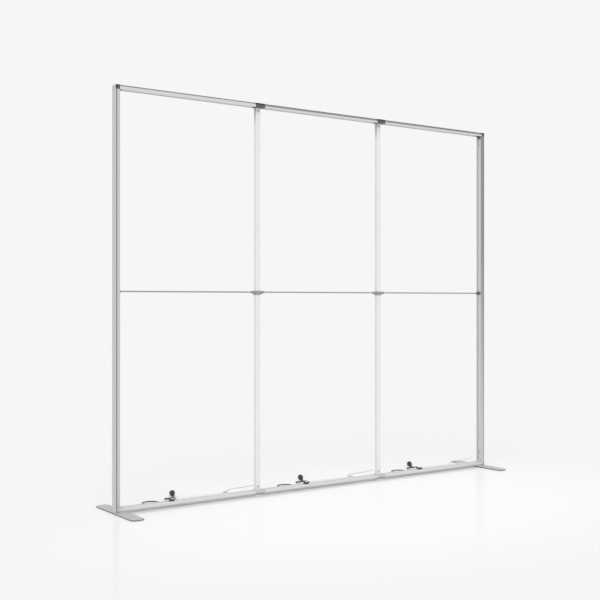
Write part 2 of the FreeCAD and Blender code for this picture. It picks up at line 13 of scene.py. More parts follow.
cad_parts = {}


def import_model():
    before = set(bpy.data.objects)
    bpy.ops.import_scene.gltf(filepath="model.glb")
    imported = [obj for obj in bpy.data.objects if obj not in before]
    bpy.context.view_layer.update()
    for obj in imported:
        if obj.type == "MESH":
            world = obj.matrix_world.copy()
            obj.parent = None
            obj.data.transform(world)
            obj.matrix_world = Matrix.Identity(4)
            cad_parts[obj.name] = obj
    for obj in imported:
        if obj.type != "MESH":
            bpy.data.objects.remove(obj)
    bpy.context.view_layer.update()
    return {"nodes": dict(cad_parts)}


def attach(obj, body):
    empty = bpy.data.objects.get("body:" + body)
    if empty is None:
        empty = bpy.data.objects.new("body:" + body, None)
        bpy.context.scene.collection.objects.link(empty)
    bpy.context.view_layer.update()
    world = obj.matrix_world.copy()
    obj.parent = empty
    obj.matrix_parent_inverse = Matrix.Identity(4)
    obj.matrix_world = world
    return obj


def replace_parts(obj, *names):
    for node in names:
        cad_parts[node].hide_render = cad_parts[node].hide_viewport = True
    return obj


LOG = logging.getLogger("lightbox_wall")
FRAME_BODY = "frame"

Colour = tuple[float, float, float]
Point = tuple[float, float, float]
Pair = tuple[float, float]
Profile = tuple[Pair, ...]

# The colour sockets of a Mix node.
MIX_FACTOR, MIX_FIRST, MIX_SECOND, MIX_RESULT = 0, 6, 7, 2
WHITE = (1.0, 1.0, 1.0, 1.0)


class Axis(Enum):
    """The wall's axes, each with its number among a vector's parts."""

    ACROSS = 0
    BACK = 1
    UP = 2


class Run(Enum):
    """The way that a drawn or extruded piece runs, with how much its marks stretch along each axis."""

    ALONG = (0.004, 1.0, 1.0)
    UPRIGHT = (1.0, 1.0, 0.004)


class Bay(Enum):
    """The wall's bays, each with the place of its left end in metres."""

    LEFT = ("left", -1.5)
    CENTRE = ("centre", -0.5)
    RIGHT = ("right", 0.5)

    @property
    def label(self) -> str:
        """The bay's name in the nodes' names."""
        return self.value[0]

    @property
    def start(self) -> Vector:
        """The bay's left end, on the floor."""
        return Vector((self.value[1], 0.0, 0.0))


class Signal:
    """A number in a shader, which Python's operators can work on."""

    def __init__(self, shader: "Shader", socket: bpy.types.NodeSocket) -> None:
        """Keeps a socket, and the shader that new Math nodes go into."""
        self.shader = shader
        self.socket = socket

    def _math(self, operation: str, first: Any, second: Any) -> "Signal":
        """Adds a Math node that works on two signals or numbers."""
        return self.shader.signal("ShaderNodeMath", {"operation": operation}, {0: first, 1: second})

    def __add__(self, other: Any) -> "Signal":
        """The sum."""
        return self._math("ADD", self, other)

    __radd__ = __add__

    def __sub__(self, other: Any) -> "Signal":
        """The difference."""
        return self._math("SUBTRACT", self, other)

    def __rsub__(self, other: Any) -> "Signal":
        """The difference from a number."""
        return self._math("SUBTRACT", other, self)

    def __mul__(self, other: Any) -> "Signal":
        """The product."""
        return self._math("MULTIPLY", self, other)

    __rmul__ = __mul__

    def peak(self, other: Any) -> "Signal":
        """The larger of two."""
        return self._math("MAXIMUM", self, other)

    def rise(self, low: float, high: float) -> "Signal":
        """A smooth step that leaves 0 at the first place and reaches 1 at the second."""
        return self.shader.signal("ShaderNodeMapRange", {"interpolation_type": "SMOOTHSTEP"},
                                  {"Value": self, "From Min": low, "From Max": high})


class Shader:
    """A node tree in the making."""

    def __init__(self, tree: bpy.types.NodeTree) -> None:
        """Empties a material's or the world's node tree to build in it."""
        self.tree = tree
        tree.nodes.clear()

    def node(self, kind: str, settings: dict[str, Any], inputs: dict[Any, Any]) -> bpy.types.Node:
        """Adds a node.

        Args:
            kind: The node's type.
            settings: Its own properties, set first.
            inputs: A value, socket or signal for each of its sockets.

        Returns:
            The node.
        """
        made = self.tree.nodes.new(kind)
        for name, value in settings.items():
            setattr(made, name, value)
        for key, value in inputs.items():
            source = value.socket if isinstance(value, Signal) else value
            if isinstance(source, bpy.types.NodeSocket):
                self.tree.links.new(source, made.inputs[key])
            else:
                made.inputs[key].default_value = source
        return made

    def signal(self, kind: str, settings: dict[str, Any], inputs: dict[Any, Any], output: Any = 0) -> Signal:
        """Adds a node and gives one of its outputs, by name or number, as a signal."""
        return Signal(self, self.node(kind, settings, inputs).outputs[output])

    def place(self, stretch: Point = (1.0, 1.0, 1.0), shift: Point = (0.0, 0.0, 0.0)) -> bpy.types.NodeSocket:
        """The place on the object in metres, with a factor for each axis and then a shift."""
        spot = self.node("ShaderNodeTexCoord", {}, {}).outputs["Object"]
        return self.node("ShaderNodeMapping", {}, {"Vector": spot, "Scale": stretch, "Location": shift}).outputs[0]

    def along(self, spot: bpy.types.NodeSocket, axis: Axis) -> Signal:
        """How far a place is along an axis."""
        return self.signal("ShaderNodeSeparateXYZ", {}, {0: spot}, axis.value)

    def noise(self, spot: bpy.types.NodeSocket, scale: float, detail: float) -> Signal:
        """A cloudy noise from 0 to 1, with so many clouds to the metre and so many finer layers."""
        return self.signal("ShaderNodeTexNoise", {}, {"Vector": spot, "Scale": scale, "Detail": detail})

    def tint(self, share: Any, first: Any, second: Any) -> bpy.types.NodeSocket:
        """A colour between two.

        Args:
            share: 0 for the first, 1 for the second.
            first: A colour or a colour's socket.
            second: A colour or a colour's socket.

        Returns:
            The colour's socket.
        """
        ends = [end if isinstance(end, bpy.types.NodeSocket) else (*end, 1.0) for end in (first, second)]
        mixed = self.node("ShaderNodeMix", {"data_type": "RGBA"},
                          {MIX_FACTOR: share, MIX_FIRST: ends[0], MIX_SECOND: ends[1]})
        return mixed.outputs[MIX_RESULT]

    def bump(self, height: Signal, depth: float, strength: float) -> bpy.types.NodeSocket:
        """A normal that follows a height, given what a height of 1 is in metres and how much of it shows."""
        return self.node("ShaderNodeBump", {}, {"Height": height, "Distance": depth, "Strength": strength}).outputs[0]


def grey(value: float) -> Colour:
    """A grey."""
    return (value, value, value)


def shade(colour: Colour, factor: float) -> Colour:
    """A colour made darker or lighter by a factor, at most white."""
    return tuple(min(1.0, part * factor) for part in colour)


@dataclass(frozen=True)
class Step:
    """A limit of a patch, at right angles to an axis.

    Attributes:
        axis: The axis.
        out: Where the patch has not begun yet, in metres.
        within: Where it has begun.
    """

    axis: Axis
    out: float
    within: float


@dataclass(frozen=True)
class AccentAndShade:
    """A second colour on some patches of a surface, used both for second tones and for painted shade and painted
    light.

    Attributes:
        colour: The colour.
        patches: The limits of each patch.
    """

    colour: Colour
    patches: tuple[tuple[Step, ...], ...]

    def share(self, shader: Shader) -> Signal:
        """How much of the patch colour shows at a place.

        Args:
            shader: The material's shader.

        Returns:
            1 well within a patch, 0 outside them all.
        """
        spot = shader.place()
        shares = []
        for patch in self.patches:
            steps = [shader.along(spot, step.axis).rise(step.out, step.within) for step in patch]
            shares.append(math.prod(steps[1:], start=steps[0]))
        whole = shares[0]
        for other in shares[1:]:
            whole = whole.peak(other)
        return whole


@dataclass(frozen=True)
class Cloud:
    """A cloudy noise on a finish.

    Attributes:
        scale: How many clouds there are to the metre.
        detail: How many finer layers it has.
        low: Where a spot begins, if only its spots are used.
        high: Where a spot is full.
    """

    scale: float
    detail: float
    low: float = 0.0
    high: float = 1.0

    def over(self, shader: Shader, spot: bpy.types.NodeSocket) -> Signal:
        """The noise at a place."""
        return shader.noise(spot, self.scale, self.detail)

    def spots(self, shader: Shader, spot: bpy.types.NodeSocket) -> Signal:
        """Its spots alone, at a place."""
        return self.over(shader, spot).rise(self.low, self.high)


@dataclass(frozen=True)
class Finish:
    """A surface finish, here of paint, plastic or small metal pieces.

    Attributes:
        name: The material's name.
        slot: The record's material slot.
        colour: Its middle colour.
        roughness: Its middle roughness.
        grain: How many of its fine marks there are to the metre.
        depth: How deep those marks are, in metres.
        metallic: 1 for bare metal, 0 for paint and plastic.
        wear: How much the handled spots darken.
        accent_and_shade: Its second colour on some patches, if it has one; on most finishes that is painted shade and
            painted light.
        spread: How much lighter and darker the colour gets.
        middle: The middle of a noise.
        gloss_spread: How much the roughness changes.
        dulling: How much rougher the handled spots are.
        marks: How much of the fine marks shows in the normal.
        layers: How many finer layers the marks have.
        blotches: Its soft blotches.
        handled: Its handled spots.
        blotch_share: The blotches' share of the tone. The fine marks have the rest.
        darkening: How strongly wear acts on the tone.
    """

    name: str
    slot: str
    colour: Colour
    roughness: float
    grain: float
    depth: float
    metallic: float = 0.0
    wear: float = 0.06
    accent_and_shade: AccentAndShade | None = None
    spread: ClassVar[float] = 0.06
    middle: ClassVar[float] = 0.5
    gloss_spread: ClassVar[float] = 0.12
    dulling: ClassVar[float] = 0.1
    marks: ClassVar[float] = 0.2
    layers: ClassVar[float] = 2.0
    blotches: ClassVar[Cloud] = Cloud(9.0, 3.0)
    handled: ClassVar[Cloud] = Cloud(34.0, 5.0, 0.56, 0.72)
    blotch_share: ClassVar[float] = 0.85
    darkening: ClassVar[float] = 4.0

    def material(self) -> bpy.types.Material:
        """Makes the material, once for each finish.

        Returns:
            The material.
        """
        found = bpy.data.materials.get(self.name)
        if found:
            return found
        made = bpy.data.materials.new(self.name)
        made.use_nodes = True
        made.diffuse_color = (*self.colour, 1.0)
        shader = Shader(made.node_tree)
        surface = shader.node("ShaderNodeBsdfPrincipled", {}, {"Metallic": self.metallic, **self.sockets(shader)})
        shader.node("ShaderNodeOutputMaterial", {}, {"Surface": surface.outputs[0]})
        return made

    def paint(self, shader: Shader, tone: Signal) -> bpy.types.NodeSocket:
        """The colour, a little lighter and darker from place to place, with the second colour, mostly painted shade
        and painted light, on its patches.

        Args:
            shader: The material's shader.
            tone: 0 where it is darkest, 1 where it is lightest.

        Returns:
            The colour's socket.
        """
        base = self._toned(shader, tone, self.colour)
        if self.accent_and_shade is None:
            return base
        return shader.tint(self.accent_and_shade.share(shader), base, self._toned(shader, tone, self.accent_and_shade.colour))

    def _toned(self, shader: Shader, tone: Signal, colour: Colour) -> bpy.types.NodeSocket:
        """A colour that gets lighter and darker with a tone."""
        return shader.tint(tone, shade(colour, 1 - self.spread), shade(colour, 1 + self.spread))

    def sockets(self, shader: Shader) -> dict[str, Any]:
        """What the surface's sockets get: fine grain, with soft blotches and handled spots.

        Args:
            shader: The material's shader.

        Returns:
            A value or link for each socket.
        """
        spot = shader.place()
        grain = shader.noise(spot, self.grain, self.layers)
        blotch = self.blotches.over(shader, spot)
        handled = self.handled.spots(shader, spot)
        tone = blotch * self.blotch_share + grain * (1 - self.blotch_share)
        return {
            "Base Color": self.paint(shader, tone - handled * (self.wear * self.darkening)),
            "Roughness": self.roughness + (blotch - self.middle) * self.gloss_spread + handled * self.dulling,
            "Normal": shader.bump(grain, self.depth, self.marks),
        }


@dataclass(frozen=True)
class DrawnMetal(Finish):
    """Metal that was extruded or drawn, with fine lines along its length.

    Attributes:
        run: The way that it runs.
        film: Its thin cloudy film.
        line_share: The lines' share of the tone. The film has the rest.
    """

    run: Run = Run.UPRIGHT
    dulling: ClassVar[float] = 0.08
    marks: ClassVar[float] = 0.05
    layers: ClassVar[float] = 4.0
    film: ClassVar[Cloud] = Cloud(5.0, 3.0)
    handled: ClassVar[Cloud] = Cloud(28.0, 5.0, 0.58, 0.74)
    line_share: ClassVar[float] = 0.5

    def sockets(self, shader: Shader) -> dict[str, Any]:
        """What the surface's sockets get: lines along the length under a thin cloudy film.

        Args:
            shader: The material's shader.

        Returns:
            A value or link for each socket.
        """
        spot = shader.place()
        lines = shader.noise(shader.place(self.run.value), self.grain, self.layers)
        film = self.film.over(shader, spot)
        handled = self.handled.spots(shader, spot)
        tone = lines * self.line_share + film * (1 - self.line_share)
        return {
            "Base Color": self.paint(shader, tone - handled * self.wear),
            "Roughness": self.roughness + (lines - self.middle) * self.gloss_spread + handled * self.dulling,
            "Normal": shader.bump(lines, self.depth, self.marks),
        }


@dataclass(frozen=True)
class Jacket(Finish):
    """The soft jacket of a lead, with rub marks and a little dust.

    Attributes:
        rubbed: Its rubbed spots.
        dust: Its dust.
        rub_share: The rubbed spots' share of the paler tone. The dust has the rest.
        darkest: What the colour is multiplied by where it is darkest.
        palest: What it is multiplied by where it is palest.
    """

    gloss_spread: ClassVar[float] = 0.1
    dulling: ClassVar[float] = 0.15
    marks: ClassVar[float] = 0.4
    rubbed: ClassVar[Cloud] = Cloud(60.0, 4.0, 0.52, 0.70)
    dust: ClassVar[Cloud] = Cloud(14.0, 3.0)
    rub_share: ClassVar[float] = 0.5
    darkest: ClassVar[float] = 0.8
    palest: ClassVar[float] = 1.35

    def sockets(self, shader: Shader) -> dict[str, Any]:
        """What the surface's sockets get: a fine orange-peel skin with paler rubbed spots.

        Args:
            shader: The material's shader.

        Returns:
            A value or link for each socket.
        """
        spot = shader.place()
        skin = shader.noise(spot, self.grain, self.layers)
        rubbed = self.rubbed.spots(shader, spot)
        dust = self.dust.over(shader, spot)
        share = rubbed * self.rub_share + dust * (1 - self.rub_share)
        return {
            "Base Color": shader.tint(share, shade(self.colour, self.darkest), shade(self.colour, self.palest)),
            "Roughness": self.roughness + rubbed * self.dulling + (dust - self.middle) * self.gloss_spread,
            "Normal": shader.bump(skin, self.depth, self.marks),
        }


def anodised(name: str, colour: Colour, accent_and_shade: AccentAndShade, run: Run) -> DrawnMetal:
    """The aluminium of the posts and rails, in one of its tones and along its run. The tones differ only by painted
    shade and painted light.
    """
    return DrawnMetal(name, "anodised_aluminium", colour, roughness=0.42, grain=700.0, depth=0.00002, metallic=0.5,
                      accent_and_shade=accent_and_shade, run=run)


def nylon(name: str, slot: str, colour: Colour, depth: float, accent_and_shade: AccentAndShade | None = None) -> Finish:
    """The nylon of the connectors and caps, in one of its tones; the top and bottom connectors' two tones are painted
    shade and painted light.
    """
    return Finish(name, slot, colour, roughness=0.5, grain=2200.0, depth=depth, accent_and_shade=accent_and_shade)


# Limits on the outer posts, rails and corners.
FRONT = Step(Axis.BACK, -0.0236, -0.0246)
BEHIND_FRONT = Step(Axis.BACK, -0.0246, -0.0236)
INNER_REAR = Step(Axis.BACK, 0.0165, 0.0195)
INNER_FRONT = Step(Axis.BACK, -0.0165, -0.0190)
LEFT_POST_INNER_FACE = Step(Axis.ACROSS, -1.4765, -1.4750)
RIGHT_POST_INNER_FACE = Step(Axis.ACROSS, 1.4765, 1.4750)
RIGHT_POST_UPWARD = Step(Axis.UP, -0.22, 2.0)
PAST_LEFT_BAY = Step(Axis.ACROSS, -0.48, -0.46)
TOP_LINE_LOW = Step(Axis.UP, 2.4845, 2.4860)
TOP_LINE_HIGH = Step(Axis.UP, 2.4978, 2.4970)
RAIL_GROOVE = Step(Axis.UP, 0.0175, 0.0160)
LEFT_SIDE = Step(Axis.ACROSS, -1.4980, -1.4990)
RIGHT_SIDE = Step(Axis.ACROSS, 1.4980, 1.4990)
TOP_SIDE = Step(Axis.UP, 2.4980, 2.4990)

# Limits on the inner posts, the clamps and the feet. A slow step gives a faint share of the patch colour.
TUBE_TOP = Step(Axis.UP, 2.33, 2.45)
LEFT_TUBE_SIDE = Step(Axis.ACROSS, -0.5140, -0.5175)
LEFT_TUBE_SIDE_FAINT = Step(Axis.ACROSS, -0.5140, -0.5280)
RIGHT_TUBE = Step(Axis.ACROSS, 0.0, 0.1)
RIGHT_TUBE_SIDE = Step(Axis.ACROSS, 0.4860, 0.4825)
RIGHT_TUBE_SIDE_FAINT = Step(Axis.ACROSS, 0.4860, 0.4720)
RIGHT_END = Step(Axis.ACROSS, 1.0, 1.2)
FOOT_EDGE = Step(Axis.UP, 0.0070, 0.0064)

# Both posts are one anodised aluminium, so their two greys are painted shade and painted light. Their dark patches are
# painted shade: the rear strip of each post's inner face, and on the right post the front face and the front strip of
# the inner face.
LEFT_POST_METAL = anodised("left_post_anodised_painted_shade", (0.56, 0.565, 0.57), AccentAndShade((0.32, 0.323, 0.327), (
    (INNER_REAR, LEFT_POST_INNER_FACE),)), Run.UPRIGHT)
RIGHT_POST_METAL = anodised("right_post_anodised_painted_shade", (0.62, 0.625, 0.63), AccentAndShade((0.29, 0.293, 0.297), (
    (FRONT, RIGHT_POST_UPWARD), (INNER_REAR, RIGHT_POST_INNER_FACE),
    (INNER_FRONT, RIGHT_POST_INNER_FACE, RIGHT_POST_UPWARD))), Run.UPRIGHT)
# The rails are the same aluminium: the bottom rails' paler grey is painted light. The top rail's dark line along its
# front groove, right of the left bay, is painted shade in the groove, and the bottom rails' pale band low on their
# fronts, over the groove, is painted light.
TOP_RAIL_METAL = anodised("top_rail_anodised_painted_shade", (0.66, 0.665, 0.67), AccentAndShade((0.30, 0.30, 0.305), (
    (FRONT, PAST_LEFT_BAY, TOP_LINE_LOW, TOP_LINE_HIGH),)), Run.ALONG)
BOTTOM_RAIL_METAL = anodised("bottom_rail_anodised_painted_light", (0.72, 0.725, 0.73), AccentAndShade(grey(0.82), (
    (RAIL_GROOVE,),)), Run.ALONG)
BAR_METAL = DrawnMetal("cross_bar_metal", "grey_bar", (0.36, 0.364, 0.37), roughness=0.38, grain=900.0, depth=0.00002,
                       metallic=0.5, run=Run.ALONG)
COUPLER_METAL = DrawnMetal("coupler_metal", "coupler_aluminium", (0.6, 0.61, 0.62), roughness=0.42, grain=1100.0,
                           depth=0.00008, metallic=1.0)
# The inner posts' darker patches are painted shade: a faint darkening on the left side of each tube, much stronger
# near the top under the tees.
TUBE_PAINT = Finish("inner_post_white_painted_shade", "white_tube", grey(0.78), roughness=0.42, grain=600.0, depth=0.00002,
                    wear=0.02, accent_and_shade=AccentAndShade((0.44, 0.44, 0.445), (
                        (LEFT_TUBE_SIDE_FAINT,), (TUBE_TOP, LEFT_TUBE_SIDE),
                        (RIGHT_TUBE, RIGHT_TUBE_SIDE_FAINT), (TUBE_TOP, RIGHT_TUBE, RIGHT_TUBE_SIDE))))
# The top connectors' near-black is painted shade: they are the same nylon as the bottom ones, seen on their shaded
# undersides.
TOP_CONNECTOR_SHADED_NYLON = nylon("top_connector_nylon_painted_shade", "dark_connector", (0.085, 0.086, 0.09), 0.00012)
CORNER_NYLON = nylon("corner_nylon_and_metal", "dark_connector", (0.085, 0.086, 0.09), 0.00012,
                     AccentAndShade((0.52, 0.525, 0.53), (
                         (BEHIND_FRONT, LEFT_SIDE), (BEHIND_FRONT, RIGHT_SIDE), (BEHIND_FRONT, TOP_SIDE))))
CLAMP_NYLON = nylon("clamp_nylon", "dark_connector", (0.30, 0.301, 0.304), 0.00012,
                    AccentAndShade((0.14, 0.141, 0.145), ((RIGHT_END,),)))
# The bottom connectors' paler grey is painted light on the same nylon, seen on their lit tops.
BOTTOM_CONNECTOR_LIT_NYLON = nylon("bottom_connector_nylon_painted_light", "grey_connector", (0.55, 0.545, 0.53), 0.00008)
CAP_NYLON = nylon("driver_cap_nylon", "dark_connector", (0.26, 0.26, 0.265), 0.0001)
BUTTON_STEEL = Finish("button_steel", "button_steel", (0.22, 0.22, 0.225), roughness=0.4, grain=1500.0, depth=0.00004,
                      metallic=1.0)
BOLT_STEEL = Finish("bolt_steel", "bolt_steel", (0.5, 0.5, 0.51), roughness=0.35, grain=1200.0, depth=0.00005,
                    metallic=1.0)
PIN_METAL = Finish("plug_pin_metal", "bolt_steel", (0.3, 0.29, 0.27), roughness=0.3, grain=1500.0, depth=0.00003,
                   metallic=1.0)
FOOT_PAINT = Finish("foot_textured_paint", "grey_foot", (0.50, 0.50, 0.505), roughness=0.5, grain=1300.0,
                    depth=0.0002, accent_and_shade=AccentAndShade((0.15, 0.15, 0.155), ((FOOT_EDGE,),)))
DISC_PAINT = Finish("middle_foot_paint", "grey_foot", (0.58, 0.58, 0.585), roughness=0.5, grain=1300.0, depth=0.0001)
DRIVER_PAINT = Finish("driver_case_paint", "driver_case", (0.82, 0.82, 0.825), roughness=0.42, grain=1200.0,
                      depth=0.00004)
BLACK_JACKET = Jacket("black_lead_jacket", "black_cord", (0.012, 0.012, 0.013), roughness=0.42, grain=1500.0,
                      depth=0.00006)
WHITE_JACKET = Jacket("white_lead_jacket", "white_cord", grey(0.72), roughness=0.42, grain=1500.0, depth=0.00006)
BLACK_MOULDING = Finish("black_moulding", "black_moulding", (0.014, 0.014, 0.015), roughness=0.45, grain=2000.0,
                        depth=0.0001)
WHITE_MOULDING = Finish("white_moulding", "white_moulding", grey(0.76), roughness=0.42, grain=2000.0, depth=0.00008)


def linked(name: str, data: bpy.types.ID) -> bpy.types.Object:
    """Makes an object and links it into the scene.

    Args:
        name: Its name.
        data: Its mesh, curve, light or camera.

    Returns:
        The object.
    """
    made = bpy.data.objects.new(name, data)
    bpy.context.scene.collection.objects.link(made)
    return made


@dataclass(frozen=True)
class Slab:
    """A block's heights and the rounding of its edges, in metres.

    Attributes:
        low: The height of its underside.
        high: The height of its top.
        rounding: The rounding of its edges.
    """

    low: float
    high: float
    rounding: float


class Shape:
    """A mesh in the making, shaped by operators."""

    MERGE_DISTANCE = 1e-6
    ROUNDING_SEGMENTS = 3
    SHARP_ANGLE = math.radians(32.0)

    def __init__(self) -> None:
        """Starts empty."""
        self.bm = bmesh.new()

    def turned(self, profile: Sequence[Pair], steps: int, index: int = 0) -> list[bmesh.types.BMVert]:
        """Spins a profile about the X axis.

        Args:
            profile: Places along the axis and out from it, in metres.
            steps: How many faces go round.
            index: The faces' material.

        Returns:
            The new vertices.
        """
        before = set(self.bm.verts)
        verts = [self.bm.verts.new((along, 0.0, out)) for along, out in profile]
        edges = [self.bm.edges.new(pair) for pair in zip(verts, verts[1:])]
        bmesh.ops.spin(self.bm, geom=verts + edges, cent=(0, 0, 0), axis=(1, 0, 0), dvec=(0, 0, 0),
                       angle=math.tau, steps=steps, use_merge=True, use_duplicate=False)
        made = [vert for vert in self.bm.verts if vert not in before]
        bmesh.ops.remove_doubles(self.bm, verts=made, dist=self.MERGE_DISTANCE)
        return self._settle(before, index)

    def prism(self, outline: Sequence[Pair], slab: Slab, index: int = 0) -> None:
        """Pulls an outline in X and Y up into a block and rounds its edges.

        Args:
            outline: The corners, in metres.
            slab: The block's heights and rounding.
            index: The faces' material.
        """
        before = set(self.bm.verts)
        base = self.bm.faces.new([self.bm.verts.new((x, y, slab.low)) for x, y in outline])
        pulled = bmesh.ops.extrude_face_region(self.bm, geom=[base])["geom"]
        bmesh.ops.translate(self.bm, vec=(0, 0, slab.high - slab.low),
                            verts=[item for item in pulled if isinstance(item, bmesh.types.BMVert)])
        made = [vert for vert in self.bm.verts if vert not in before]
        edges = {edge for vert in made for edge in vert.link_edges}
        bmesh.ops.bevel(self.bm, geom=list(edges), offset=slab.rounding, offset_type="OFFSET",
                        segments=self.ROUNDING_SEGMENTS, profile=0.5, affect="EDGES", material=-1, clamp_overlap=True)
        self._settle(before, index)

    def _settle(self, before: set[bmesh.types.BMVert], index: int) -> list[bmesh.types.BMVert]:
        """Turns the newest faces outwards and gives them their material.

        Args:
            before: The vertices that were there already.
            index: The faces' material.

        Returns:
            The new vertices.
        """
        made = [vert for vert in self.bm.verts if vert not in before]
        faces = list({face for vert in made for face in vert.link_faces})
        bmesh.ops.recalc_face_normals(self.bm, faces=faces)
        for face in faces:
            face.material_index = index
        return made

    def move(self, verts: Sequence[bmesh.types.BMVert], matrix: Matrix) -> None:
        """Moves vertices by a matrix."""
        bmesh.ops.transform(self.bm, matrix=matrix, verts=list(verts))

    def piece(self, bay: Bay, label: str, finishes: Sequence[Finish], matrix: Matrix) -> bpy.types.Object:
        """Makes the object behind a bay, where it rides on the frame.

        Args:
            bay: The bay.
            label: The object's name, without the bay.
            finishes: A finish for each material index.
            matrix: Where the shape goes in the bay.

        Returns:
            The object.
        """
        name = f"{label}_{bay.label}"
        self.move(self.bm.verts, Matrix.Translation(bay.start) @ matrix)
        mesh = bpy.data.meshes.new(name)
        self.bm.to_mesh(mesh)
        self.bm.free()
        for finish in finishes:
            mesh.materials.append(finish.material())
        mesh.shade_smooth()
        mesh.set_sharp_from_angle(angle=self.SHARP_ANGLE)
        made = linked(name, mesh)
        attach(made, FRAME_BODY)
        LOG.info("piece %s: %d faces", name, len(mesh.polygons))
        return made


def rectangle(start: float, end: float, low: float, high: float) -> Profile:
    """The corners of a rectangle, from its limits along the first axis and along the second."""
    return (start, low), (end, low), (end, high), (start, high)


def tapered(start: float, shoulder: float, end: float, neck: float, half: float) -> Profile:
    """The corners of a flat housing, from half its neck at the start to half its width at the shoulder."""
    return (start, -neck), (shoulder, -half), (end, -half), (end, half), (shoulder, half), (start, neck)


def heading_matrix(place: Point, heading: Pair, tilt: float = 0.0) -> Matrix:
    """Tilts up what was built along +X, turns it to a heading on the floor and moves it to a place."""
    turn = Matrix.Rotation(math.atan2(heading[1], heading[0]), 4, "Z")
    return Matrix.Translation(place) @ turn @ Matrix.Rotation(-tilt, 4, "Y")


ORIGIN = (0.0, 0.0, 0.0)
RIGHTWARDS, LEFTWARDS, BACKWARDS = (1.0, 0.0), (-1.0, 0.0), (0.0, 1.0)


@dataclass(frozen=True)
class Part(ABC):
    """A part of a fitting.

    Attributes:
        finish: Its finish.
    """

    finish: Finish

    @abstractmethod
    def add(self, shape: Shape, index: int) -> None:
        """Adds the part to a shape.

        Args:
            shape: The shape.
            index: The number of its finish there.
        """


@dataclass(frozen=True)
class Block(Part):
    """A block with rounded edges.

    Attributes:
        outline: Its corners in X and Y, in metres.
        slab: Its heights and the rounding of its edges.
    """

    outline: Profile
    slab: Slab

    def add(self, shape: Shape, index: int) -> None:
        """Pulls the outline up."""
        shape.prism(self.outline, self.slab, index)


@dataclass(frozen=True)
class Turning(Part):
    """A round part.

    Attributes:
        profile: Places along its axis and out from it, in metres.
        place: Where its axis starts.
        heading: The way that its axis points, in X and Y.
        steps: How many faces go round it.
    """

    profile: Profile
    place: Point = ORIGIN
    heading: Pair = RIGHTWARDS
    steps: int = 16

    def add(self, shape: Shape, index: int) -> None:
        """Spins the profile and puts it in its place."""
        shape.move(shape.turned(self.profile, self.steps, index), heading_matrix(self.place, self.heading))


@dataclass(frozen=True)
class Relief(Part):
    """A ribbed sleeve that tapers along a lead.

    Attributes:
        root: Its radius at the housing.
        tip: Its radius at its end.
        place: Where the lead leaves the housing.
        heading: The way that the lead leaves it, in X and Y.
        tilt: How far the lead rises there, in radians.
        length: Its length.
        ribs: How many rings are cut in it.
        notch: How deep the rings are.
        ring: Half a ring's width at the surface, as a share of the rings' pitch.
        floor: Half its width at the bottom, as a share of that.
        edge: The cut on its end's edge.
        steps: How many faces go round.
    """

    root: float
    tip: float
    place: Point
    heading: Pair
    tilt: float = 0.0
    length: ClassVar[float] = 0.022
    ribs: ClassVar[int] = 5
    notch: ClassVar[float] = 0.0006
    ring: ClassVar[float] = 0.22
    floor: ClassVar[float] = 0.6
    edge: ClassVar[float] = 0.0003
    steps: ClassVar[int] = 24

    def add(self, shape: Shape, index: int) -> None:
        """Cuts the rings in a tapered profile, spins it and puts it in its place.

        Args:
            shape: The shape.
            index: The number of its finish there.
        """
        points = [(0.0, 0.0), (0.0, self.root)]
        pitch = self.length / (self.ribs + 1)
        half = pitch * self.ring
        for rib in range(1, self.ribs + 1):
            along = rib * pitch
            out = self.root + (self.tip - self.root) * along / self.length
            points += [(along - half, out), (along - half * self.floor, out - self.notch),
                       (along + half * self.floor, out - self.notch), (along + half, out)]
        points += [(self.length - self.edge, self.tip), (self.length, self.tip - self.edge), (self.length, 0.0)]
        shape.move(shape.turned(points, self.steps, index), heading_matrix(self.place, self.heading, self.tilt))


@dataclass(frozen=True)
class Fitting(ABC):
    """What a lead comes out of, or what is on its end.

    Attributes:
        name: Its name, without the bay.
        replaced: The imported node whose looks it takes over, if there is one.
        place: Where its origin goes in the bay.
        heading: The way that it points, in X and Y.
        tilt: How far its front rises, in radians.
    """

    name: ClassVar[str]
    replaced: ClassVar[str] = ""
    place: Point = ORIGIN
    heading: Pair = RIGHTWARDS
    tilt: float = 0.0

    @abstractmethod
    def parts(self) -> list[Part]:
        """Its parts, in order. The first one's finish is the piece's first material."""

    def build(self, bay: Bay) -> bpy.types.Object:
        """Builds its mesh behind a bay and dresses it.

        Args:
            bay: The bay.

        Returns:
            The piece.
        """
        parts = self.parts()
        finishes = list(dict.fromkeys(part.finish for part in parts))
        shape = Shape()
        for part in parts:
            part.add(shape, finishes.index(part.finish))
        made = shape.piece(bay, self.name, finishes, heading_matrix(self.place, self.heading, self.tilt))
        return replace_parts(made, self.replaced) if self.replaced else made


@dataclass(frozen=True)
class Lead:
    """A free lead behind a bay.

    Attributes:
        name: Its node's name, without the bay.
        diameter: Its thickness.
        length: Its length from end to end.
        far_end: What it ends in.
        finish: Its jacket.
        route: Its points in the bay's frame, in metres.
        roundness: How finely its section is rounded.
        smoothness: How many steps there are from point to point.
    """

    name: str
    diameter: float
    length: float
    far_end: str
    finish: Finish
    route: tuple[Point, ...]
    roundness: ClassVar[int] = 4
    smoothness: ClassVar[int] = 10

    def build(self, bay: Bay, with_pieces: Sequence[bpy.types.Object]) -> None:
        """Lays the lead behind a bay.

        Args:
            bay: The bay.
            with_pieces: The pieces on it. Not used.
        """
        node = f"{self.name}_{bay.label}"
        curve = bpy.data.curves.new(node + "_jacket", "CURVE")
        curve.dimensions = "3D"
        curve.bevel_depth = self.diameter / 2
        curve.bevel_resolution = self.roundness
        curve.resolution_u = self.smoothness
        curve.use_fill_caps = True
        spline = curve.splines.new("NURBS")
        spline.points.add(len(self.route) - 1)
        for point, spot in zip(spline.points, self.route):
            point.co = (*(Vector(spot) + bay.start), 1.0)
        spline.order_u = 3
        spline.use_endpoint_u = True
        curve.materials.append(self.finish.material())
        made = linked(node + "_jacket", curve)
        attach(made, FRAME_BODY)
        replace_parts(made, node)
        LOG.info("lead %s: %.3f m", node, self.length)


